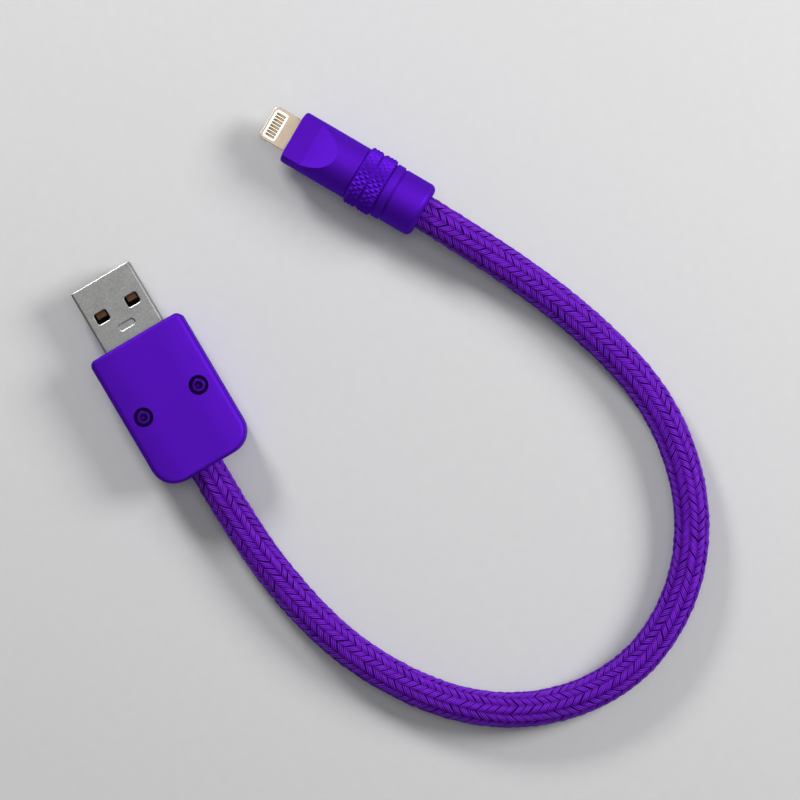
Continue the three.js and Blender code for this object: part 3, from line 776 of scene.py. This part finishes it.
# ---------- wide plug ----------
HOUSING_LOW = span("usb_housing_bottom", WIDE)[0]
HOUSING_HIGH = span("usb_housing_top", WIDE)[1]
HOUSING_W = HOUSING_HIGH[0] - HOUSING_LOW[0]
HOUSING_L = HOUSING_HIGH[1] - HOUSING_LOW[1]
HOUSING_HALF_H = HOUSING_HIGH[2]
HOUSING_MID_Y = (HOUSING_HIGH[1] + HOUSING_LOW[1]) / 2
HOUSING_FRONT_R = 1.15
HOUSING_REAR_R = 4.4
HOUSING_EDGE = 1.0
END_SHARE = 0.5  # width of the soft edge at the two ends, as a share of its width along the sides
PARTING_GAP = 0.03
PARTING_EDGE = 0.12
CROWN_FLAT = 3.5  # half width of the level middle of the crown
CROWN_DROP = 0.55
WALL = 1.5
SCREW_LOW, SCREW_HIGH = span("usb_screw_right", WIDE)
SCREW_X = (SCREW_LOW[0] + SCREW_HIGH[0]) / 2
SCREW_Y = (SCREW_LOW[1] + SCREW_HIGH[1]) / 2
HEAD_R = (SCREW_HIGH[0] - SCREW_LOW[0]) / 2
HEAD_HEIGHT = 1.4
SHANK_R = 0.7
COUNTERBORE_R = 1.75
RIM = 0.1  # chamfer around each counterbore
BOSS_R = 2.3
INSERT_HOLE = (1.35, 2.7)  # radius and depth from the parting plane
ROOM = (15.2, 20.4, 0.6)  # the hollow: width, length, corner radius
SHELL_LOW, SHELL_HIGH = span("usb_shell", WIDE)
SHELL_W = SHELL_HIGH[0] - SHELL_LOW[0]
SHELL_H = SHELL_HIGH[2] - SHELL_LOW[2]


def crown(x):
    """How far the top has fallen away at a distance from the middle line."""
    share = np.clip((np.abs(x) - CROWN_FLAT) / (HOUSING_W / 2 - CROWN_FLAT), 0, None)
    return CROWN_DROP * share ** 2


CROWN_LEAN = math.atan(float(crown(SCREW_X + 0.5) - crown(SCREW_X - 0.5)))


def housing_block():
    """One half of the housing as a solid: a rounded plan, a crowned top and a soft edge between them."""
    levels = [(PARTING_EDGE, None, PARTING_GAP), (0.0, None, PARTING_GAP + PARTING_EDGE)]
    levels += [(inset, drop, None) for inset, drop in quarter_round(HOUSING_EDGE, 8)]
    for inset in np.linspace(HOUSING_EDGE, HOUSING_W / 2 - 0.3, 14)[1:]:
        levels.append((inset, 0.0, None))
    rings = []
    for inset, drop, z in levels:
        front = max(HOUSING_FRONT_R - inset, 0.1)
        rear = max(HOUSING_REAR_R - inset, 0.15)
        outline = plan(HOUSING_W - 2 * inset, HOUSING_L - 2 * inset * END_SHARE, front, rear, 8, 16)
        outline = outline + np.array([0, HOUSING_MID_Y])
        if z is None:
            heights = HOUSING_HALF_H - crown(outline[:, 0]) - drop
            rings.append(np.column_stack([outline, heights]))
        else:
            rings.append(flat_ring(outline, z))
    return loft(rings)


def housing_cutters(is_top):
    """Everything that is taken out of a housing half."""
    room = prism(
        plan(*ROOM, None, 3), -HOUSING_HALF_H, HOUSING_HALF_H - WALL, (0, HOUSING_MID_Y + 0.2)
    )
    bosses = []
    for side in (-1, 1):
        boss = turned([(0, -9), (BOSS_R, -9), (BOSS_R, 9), (0, 9)], 40)
        bosses.append(upright(boss, side * SCREW_X, SCREW_Y))
    cutters = [cut(room, bosses)]
    shell_hole = plan(SHELL_W + 0.1, SHELL_H + 0.1, 0.62, 0.62, 6)
    cutters.append(bar(shell_hole, -4.0, 1.0))
    cord_hole = turned([(0, -5), (CORD_HOLE_R, -5), (CORD_HOLE_R, 5), (0, 5)], 64)
    cord_hole.transform(Matrix.Translation((CORD_EXIT.x / MM, HOUSING_LOW[1], 0)))
    cutters.append(cord_hole)
    surface = HOUSING_HALF_H - float(crown(SCREW_X))
    seat = SCREW_HIGH[2] - HEAD_HEIGHT
    for side in (-1, 1):
        if is_top:
            shank_hole_r = SHANK_R + 0.15
            profile = [(0, -1), (shank_hole_r, -1), (shank_hole_r, seat)]
            profile += [(COUNTERBORE_R, seat), (COUNTERBORE_R, surface + 1), (0, surface + 1)]
            cone_r = COUNTERBORE_R + 4 * RIM
            cone = [(0, -RIM), (COUNTERBORE_R, -RIM), (cone_r, 3 * RIM), (0, 3 * RIM)]
            rim = upright(turned(cone, 72), 0, 0)
            rim.transform(Matrix.Rotation(side * CROWN_LEAN, 4, "Y"))
            rim.transform(Matrix.Translation((side * SCREW_X, SCREW_Y, surface)))
            cutters.append(rim)
        else:
            hole_r, depth = INSERT_HOLE
            profile = [(0, -1), (hole_r, -1), (hole_r, depth), (0, depth)]
        cutters.append(upright(turned(profile, 72), side * SCREW_X, SCREW_Y))
    return cutters


def in_counterbore(polygon):
    """Whether a face of the top half lies in one of its counterbores."""
    away = math.hypot(abs(polygon.center.x) - SCREW_X, polygon.center.y - SCREW_Y)
    above_seat = polygon.center.z - (SCREW_HIGH[2] - HEAD_HEIGHT)
    return away < COUNTERBORE_R + 0.02 and -0.1 < above_seat < HEAD_HEIGHT


def housing_half(name, is_top, node):
    """One half of the housing. The lower one is the upper one mirrored, without the screw heads."""
    mesh = cut(housing_block(), housing_cutters(is_top))
    if is_top:
        # Painted shade: the counterbore faces are marked to take a darker purple.
        mark_faces(mesh, "recess", in_counterbore)
    else:
        mesh.transform(Matrix.Scale(-1, 4, UP))
        mesh.flip_normals()
    return add_piece(name, placed(mesh, WIDE), HOUSING, [node])


def socket_screw(name, x, node):
    """A socket-head screw: plain shank, rounded head edge, six-sided socket."""
    sides = 96
    angles = np.linspace(0, 2 * math.pi, sides, endpoint=False)
    hex_share = 1 / np.cos((angles + math.pi / 6) % (math.pi / 3) - math.pi / 6)
    top = SCREW_HIGH[2]
    bottom = SCREW_LOW[2]
    seat = top - HEAD_HEIGHT
    rounding = 0.16
    tip_chamfer = 0.15
    under_chamfer = 0.05
    half_flats = 0.65
    socket_depth = 0.8
    round_part = [
        (SHANK_R - tip_chamfer, bottom),
        (SHANK_R, bottom + tip_chamfer),
        (SHANK_R, seat),
        (HEAD_R - under_chamfer, seat),
        (HEAD_R, seat + under_chamfer),
    ]
    round_part += [(HEAD_R - inset, top - drop) for inset, drop in quarter_round(rounding, 4)]
    round_part.append((half_flats + 0.22, top))
    socket_part = [
        (half_flats + 0.05, top),
        (half_flats, top - 0.06),
        (half_flats, top - socket_depth),
        (half_flats * 0.3, top - socket_depth - 0.15),
    ]
    rings = []
    for part, share in ((round_part, 1), (socket_part, hex_share)):
        for radius, z in part:
            ring_r = radius * share
            across = [ring_r * np.cos(angles), ring_r * np.sin(angles), np.full(sides, z)]
            rings.append(np.column_stack(across))
    mesh = loft(rings)

    def in_socket(polygon):
        away = math.hypot(polygon.center.x, polygon.center.y)
        return polygon.center.z < top - 0.02 and away < HEAD_R - 0.3

    # Painted shade: the socket's inner faces are marked to take a darker purple.
    mark_faces(mesh, "recess", in_socket)
    mesh.transform(Matrix.Translation((x, SCREW_Y, 0)))
    return add_piece(name, placed(mesh, WIDE), SCREW_METAL, [node], 35)


SHEET = 0.32  # thickness of the shell's steel
SHELL_CORNER_R = 0.5
WINDOW = (2.45, 2.05, 0.42)  # the throat: width, length, corner radius
WINDOW_ROLL = 0.2  # radius of the rim that rolls into it
WINDOW_X = 3.125
WINDOW_FROM_TIP = 6.3
DIMPLE = (3.4, 1.4)  # width, length
DIMPLE_FROM_TIP = 9.7
# How much wider than the dimple its wall is, and its height from the shell's face.
DIMPLE_WALL = [
    (-0.5, -0.28),
    (-0.4, -0.27),
    (-0.24, -0.19),
    (-0.08, -0.06),
    (0.02, -0.012),
    (0.14, 0.02),
    (0.3, 0.1),
]


def plug_shell():
    """A rolled steel shell: thin walls, a rounded lip at its mouth, two windows in each wide face and
    a stamped dimple in the upper one."""
    outer = plan(SHELL_W, SHELL_H, SHELL_CORNER_R, None, 8, 6)
    inner = plan(SHELL_W - 2 * SHEET, SHELL_H - 2 * SHEET, SHELL_CORNER_R - SHEET, None, 8, 6)
    tip, rear = SHELL_HIGH[1], SHELL_LOW[1]
    stations = np.linspace(rear, tip - SHEET / 2, 12)
    rings = [upright_ring(outer, y) for y in stations]
    for k in range(1, 8):
        angle = math.pi * k / 8
        share = (1 - math.cos(angle)) / 2
        rings.append(upright_ring(outer + (inner - outer) * share, tip - SHEET / 2 * (1 - math.sin(angle))))
    rings.extend(upright_ring(inner, y) for y in stations[::-1])
    pipe = loft(rings, closed=True)
    face = SHELL_HIGH[2]
    wall = [(2 * inset, face - drop) for inset, drop in quarter_round(WINDOW_ROLL, 4)[:-1]]
    wall += [(2 * WINDOW_ROLL, face + 0.02), (2 * WINDOW_ROLL + 0.02, face + 1)]
    wall = [(grow, -z) for grow, z in wall[::-1]] + wall
    cutters = []
    for side in (-1, 1):
        centre = np.array([side * WINDOW_X, tip - WINDOW_FROM_TIP])
        rings = []
        for grow, z in wall:
            outline = plan(WINDOW[0] + grow, WINDOW[1] + grow, WINDOW[2] + grow / 2, None, 6)
            rings.append(flat_ring(outline + centre, z))
        cutters.append(loft(rings))
    dimple_rings = []
    for grow, z in DIMPLE_WALL:
        pill = plan(DIMPLE[0] + grow, DIMPLE[1] + grow, (DIMPLE[1] + grow) / 2.1, None, 8)
        dimple_rings.append(flat_ring(pill + np.array([0, tip - DIMPLE_FROM_TIP]), face + z))
    cutters.append(loft(dimple_rings))
    mesh = cut(pipe, cutters)

    def faces_tip(polygon):
        """The lip, and the rear rims of the windows and the dimple."""
        outside = abs(polygon.center.z) > face - 0.3
        return polygon.normal.y > 0.25 and (outside or polygon.center.y > tip - SHEET)

    # Painted highlight: faces turned to the tip (lip, window and dimple rims) are coloured near white, as
    # if lit from the tip's side.
    mark_faces(mesh, "rubbed", faces_tip)
    return add_piece("usb_shell_drawn", placed(mesh, WIDE), SHELL_METAL, ["usb_shell"])


COVER_FRONT = SHELL_HIGH[1] - 6.3
COVER_REAR = SHELL_HIGH[1] - 9.0
COVER_THICKNESS = 0.12
SHOULDER_REAR = COVER_FRONT - 0.4
SHOULDER_FRONT = COVER_FRONT + 1.5
SHOULDER_X = (2.25, 4.05)


def plug_insulator():
    """The black block and tongue, with the thin cover under which the contacts run back."""
    low, high = span("usb_insulator", WIDE)
    blade_low, blade_high = span("usb_contact_1", WIDE)
    middle = (COVER_FRONT + COVER_REAR) / 2
    cover = prism(
        plan(high[0] - low[0] - 0.3, COVER_FRONT - COVER_REAR, 0.1, None, 2),
        blade_low[2] - 0.1,
        blade_high[2] + COVER_THICKNESS,
        (0, middle),
    )
    rooms = []
    for number in range(1, 5):
        left, right = (corner[0] for corner in span(f"usb_contact_{number}", WIDE))
        rooms.append((right - left, 6.0, ((left + right) / 2, middle)))
    for side in (-1, 1):
        centre = (side * sum(SHOULDER_X) / 2, SHOULDER_REAR + 0.45)
        rooms.append((SHOULDER_X[1] - SHOULDER_X[0], 1.0, centre))
    slots = []
    for width, length, centre in rooms:
        slot = plan(width + 0.1, length, 0.02, None, 1)
        slots.append(prism(slot, blade_low[2] - 0.2, blade_high[2] + 0.02, centre))
    block = cut(node_shape("usb_insulator", WIDE), [cut(cover, slots)], "UNION")
    made = placed(soften(block, 0.07, 40), WIDE)
    return add_piece("usb_insulator_moulding", made, BLACK_PLASTIC, ["usb_insulator"])


def plug_contact(node):
    """A flat contact with a rounded front end. The outer two have a wide shoulder at the cover."""
    low, high = span(node, WIDE)
    side = 1 if low[0] + high[0] > 0 else -1
    left, right = sorted((side * low[0], side * high[0]))
    points = [(left, low[1]), (right, low[1])]
    radii = [0.05, 0.05]
    inner, outer = SHOULDER_X
    has_shoulder = right > inner
    if has_shoulder:
        points += [(right, SHOULDER_REAR), (outer, SHOULDER_REAR)]
        points += [(outer, SHOULDER_FRONT), (right, SHOULDER_FRONT)]
        radii += [0, 0.15, 0.3, 0.08]
    points += [(right, high[1]), (left, high[1])]
    radii += [0.3, 0.3]
    if has_shoulder:
        points += [(left, SHOULDER_FRONT), (inner, SHOULDER_FRONT)]
        points += [(inner, SHOULDER_REAR), (left, SHOULDER_REAR)]
        radii += [0.08, 0.3, 0.15, 0]
    outline = np.array(round_corners(points, radii, 4)) * (side, 1)
    made = placed(soften(prism(outline, low[2], high[2]), 0.05, 40), WIDE)
    return add_piece(node + "_blade", made, CONTACT_GOLD, [node])


housing_half("usb_housing_top_half", True, "usb_housing_top")
housing_half("usb_housing_bottom_half", False, "usb_housing_bottom")
socket_screw("usb_socket_screw_left", -SCREW_X, "usb_screw_left")
socket_screw("usb_socket_screw_right", SCREW_X, "usb_screw_right")
plug_shell()
plug_insulator()
for number in range(1, 5):
    plug_contact(f"usb_contact_{number}")

# ---------- small plug ----------
NOSE_R = span("device_nose_housing", SMALL)[1][0]
NOSE_END = 13.2
THUMB_FLAT = 2.98  # height over the axis
THUMB_FLAT_END = 3.8
THUMB_RAMP_END = 8.8
THUMB_SCOOP = 0.16
SPIGOT_R = 4.25
SPIGOT_END = NOSE_END + 8.8
RING_BORE = SPIGOT_R + 0.05
GRIP_LOW, GRIP_HIGH = span("device_grip_ring", SMALL)
GRIP_R = GRIP_HIGH[0]
RING_LOW, RING_HIGH = span("device_spacer_ring", SMALL)
RING_R = RING_HIGH[0]
COLLAR_LOW, COLLAR_HIGH = span("device_rear_collar", SMALL)
TIP_LOW, TIP_HIGH = span("device_tip_frame", SMALL)
WHITE_LOW, WHITE_HIGH = span("device_tip_insulator", SMALL)


def small_housing_piece(name, mesh, node, smooth_below=30):
    return add_piece(name, placed(mesh, SMALL), SMALL_HOUSING, [node], smooth_below)


def nose_housing():
    """The front of the small plug's housing: a turned barrel with a thumb flat and ramp on both faces."""
    points = [(0, -SPIGOT_END), (SPIGOT_R, -SPIGOT_END), (SPIGOT_R, -NOSE_END)]
    points += [(NOSE_R, -NOSE_END), (NOSE_R, 0), (0, 0)]
    outline = round_corners(points, [0, 0.2, 0, 0.12, 0.55, 0])
    tip_slot = bar(plan(6.8, 1.6, 0.3, None, 5), -5, 1)
    board_room = bar(plan(7.5, 4.4, 0.4, None, 3), -12.6, -1.8)
    cord_bore = turned([(0, -30), (3.6, -30), (3.6, -9.5), (0, -9.5)], 64)
    cutters = [tip_slot, board_room, cord_bore]
    wedge = [(1, 8), (1, THUMB_FLAT)]
    for share in np.linspace(0, 1, 13):
        ramp_y = -THUMB_FLAT_END - share * (THUMB_RAMP_END - THUMB_FLAT_END)
        ramp_z = THUMB_FLAT + share * (NOSE_R - THUMB_FLAT) - THUMB_SCOOP * 4 * share * (1 - share)
        wedge.append((ramp_y, ramp_z))
    wedge.append((-THUMB_RAMP_END, 8))
    for face in (1, -1):
        rings = [np.array([(x, y, face * z) for y, z in wedge]) for x in (-8, 8)]
        cutters.append(loft(rings))
    mesh = soften(cut(turned(outline, 160), cutters), 0.16, 11, 3)
    return small_housing_piece("device_nose", mesh, "device_nose_housing")


KNURL_COUNT = 30  # diamonds round the grip
KNURL_PITCH = 1.39  # from one to the next along it
KNURL_DEPTH = 0.3
KNURL_PER_DIAMOND = 12  # points across a diamond
KNURL_CHAMFER = 0.3
GRIP_FRONT = -13.5
GRIP_GROOVE = (-15.8, -16.1)
GRIP_GROOVE_DEPTH = 0.42


def grip_ring():
    """The knurled grip: two bands of cut diamonds with a groove between them."""
    rear = GRIP_LOW[1]
    groove_front, groove_rear = GRIP_GROOVE
    groove_r = GRIP_R - GRIP_GROOVE_DEPTH
    around = KNURL_COUNT * KNURL_PER_DIAMOND
    angles = np.linspace(0, 2 * math.pi, around, endpoint=False)
    turns = KNURL_COUNT * angles / (2 * math.pi)
    step = KNURL_PITCH / KNURL_PER_DIAMOND
    rings = []

    def ring(radius, y):
        radius = np.broadcast_to(radius, angles.shape)
        across = [radius * np.cos(angles), np.full(around, y), radius * np.sin(angles)]
        rings.append(np.column_stack(across))

    def knurled_band(y_front, y_rear):
        ring(GRIP_R - KNURL_DEPTH - 0.02, y_front)
        first = math.ceil((y_rear + 0.03) / step)
        last = math.floor((y_front - 0.03) / step)
        for row in range(last, first - 1, -1):
            y = row * step
            one = np.abs(((turns + y / KNURL_PITCH) % 1) * 2 - 1)
            two = np.abs(((turns - y / KNURL_PITCH) % 1) * 2 - 1)
            height = 1 - np.maximum(one, two)
            edge = min(y_front - y, y - y_rear)
            limit = GRIP_R - max(0.0, KNURL_CHAMFER - edge) * 0.9
            ring(np.minimum(GRIP_R - KNURL_DEPTH * (1 - height), limit), y)
        ring(GRIP_R - KNURL_DEPTH - 0.02, y_rear)

    ring(RING_BORE, GRIP_HIGH[1])
    ring(5.0, -NOSE_END - 0.08)
    knurled_band(GRIP_FRONT, groove_front)
    ring(groove_r, groove_front)
    ring(groove_r, groove_rear)
    knurled_band(groove_rear, rear)
    ring(RING_BORE, rear)
    mesh = loft(rings, closed=True)
    split_along_grooves(mesh)
    return small_housing_piece("device_knurled_grip", mesh, "device_grip_ring", 18)


def split_along_grooves(mesh):
    """Cuts each four-sided face on the diagonal that runs more level round the y axis."""
    radius = [math.hypot(v.co.x, v.co.z) for v in mesh.vertices]
    points = [tuple(v.co) for v in mesh.vertices]
    faces = []
    for polygon in mesh.polygons:
        a, b, c, d = polygon.vertices
        if abs(radius[a] - radius[c]) <= abs(radius[b] - radius[d]):
            faces += [(a, b, c), (a, c, d)]
        else:
            faces += [(a, b, d), (b, c, d)]
    mesh.clear_geometry()
    mesh.from_pydata(points, [], faces)


def spacer_ring():
    """The smooth ring between the grip and the collar, with a narrow neck at each side."""
    neck = RING_R - 0.3
    rear, front = RING_LOW[1], RING_HIGH[1]
    band_rear, band_front = -20.5, -19.0
    points = [(RING_BORE, rear), (neck, rear), (neck, band_rear), (RING_R, band_rear)]
    points += [(RING_R, band_front), (neck, band_front), (neck, front), (RING_BORE, front)]
    mesh = turned(round_corners(points, [0, 0, 0, 0.12, 0.12, 0, 0, 0], 4), 160)
    return small_housing_piece("device_smooth_ring", mesh, "device_spacer_ring")


def rear_collar():
    """The collar that closes the housing, with a full round at its rear edge."""
    collar_r = COLLAR_HIGH[0]
    spigot_seat = -SPIGOT_END - 0.05
    rear, front = COLLAR_LOW[1], COLLAR_HIGH[1]
    points = [(CORD_HOLE_R, rear), (collar_r, rear), (collar_r, front)]
    points += [(RING_BORE, front), (RING_BORE, spigot_seat), (CORD_HOLE_R, spigot_seat)]
    mesh = turned(round_corners(points, [0.2, 1.15, 0.15, 0, 0, 0], 8), 160)
    return small_housing_piece("device_collar", mesh, "device_rear_collar")


def tip_frame():
    """The flat metal tip, rounded all round, with the opening for its contact block."""
    edge = 0.28
    width = TIP_HIGH[0] - TIP_LOW[0]
    length = TIP_HIGH[1] - TIP_LOW[1]
    middle = (TIP_HIGH[1] + TIP_LOW[1]) / 2
    body = plate(width, length, 0.95, 0.3, TIP_LOW[2], TIP_HIGH[2], edge, middle)
    white_w = WHITE_HIGH[0] - WHITE_LOW[0] + 0.1
    white_l = WHITE_HIGH[1] - WHITE_LOW[1] + 0.1
    white_y = (WHITE_HIGH[1] + WHITE_LOW[1]) / 2
    window = prism(plan(white_w, white_l, 0.65, None, 8), -2, 2, (0, white_y))
    channel = bar(plan(4.7, 0.7, 0.05, None, 1), TIP_LOW[1] - 1, white_y)
    mesh = soften(cut(body, [window, channel]), 0.06, 50, 2)

    def on_rim(polygon):
        near_side = abs(polygon.center.x) > TIP_HIGH[0] - edge
        near_front = polygon.center.y > TIP_HIGH[1] - edge
        return abs(polygon.normal.z) < 0.9 and (near_side or near_front)

    # Painted highlight: the rounded side and front rim of the tip are coloured lighter.
    mark_faces(mesh, "rubbed", on_rim)
    return add_piece("device_tip", placed(mesh, SMALL), TIP_METAL, ["device_tip_frame"])


nose = nose_housing()
grip = grip_ring()
ring_piece = spacer_ring()
collar = rear_collar()
tip = tip_frame()
white = softened_node("device_tip_insulator", SMALL, 0.03, WHITE_PLASTIC)
# Painted highlight: the pads' flat tops are coloured lighter than their sides.
pads = [
    softened_node(f"device_pad_{face}_{number}", SMALL, 0.08, PAD_GOLD, lies_flat)
    for face in ("top", "bottom")
    for number in range(1, 9)
]

# ---------- CAD nodes that stay: what is closed inside the housings ----------
STAYING = {
    "usb_insert_left": BRASS,
    "usb_insert_right": BRASS,
    "device_contact_board": BOARD_GREEN,
    "device_controller_chip": CHIP_BLACK,
    "device_shield_can": TIN,
}
for end in ("usb", "device"):
    STAYING[end + "_cord_jacket"] = JACKET_RUBBER
    STAYING[end + "_crimp_band"] = TIN
    for number, plastic in enumerate(WIRE_PLASTIC, start=1):
        STAYING[f"{end}_wire_{number}"] = plastic
for node, material in STAYING.items():
    mesh = frame["nodes"][node].data
    mesh.materials.clear()
    mesh.materials.append(material)

[left_lay, under, nose, grip, ring_piece, collar, tip, white] + pads[:8]
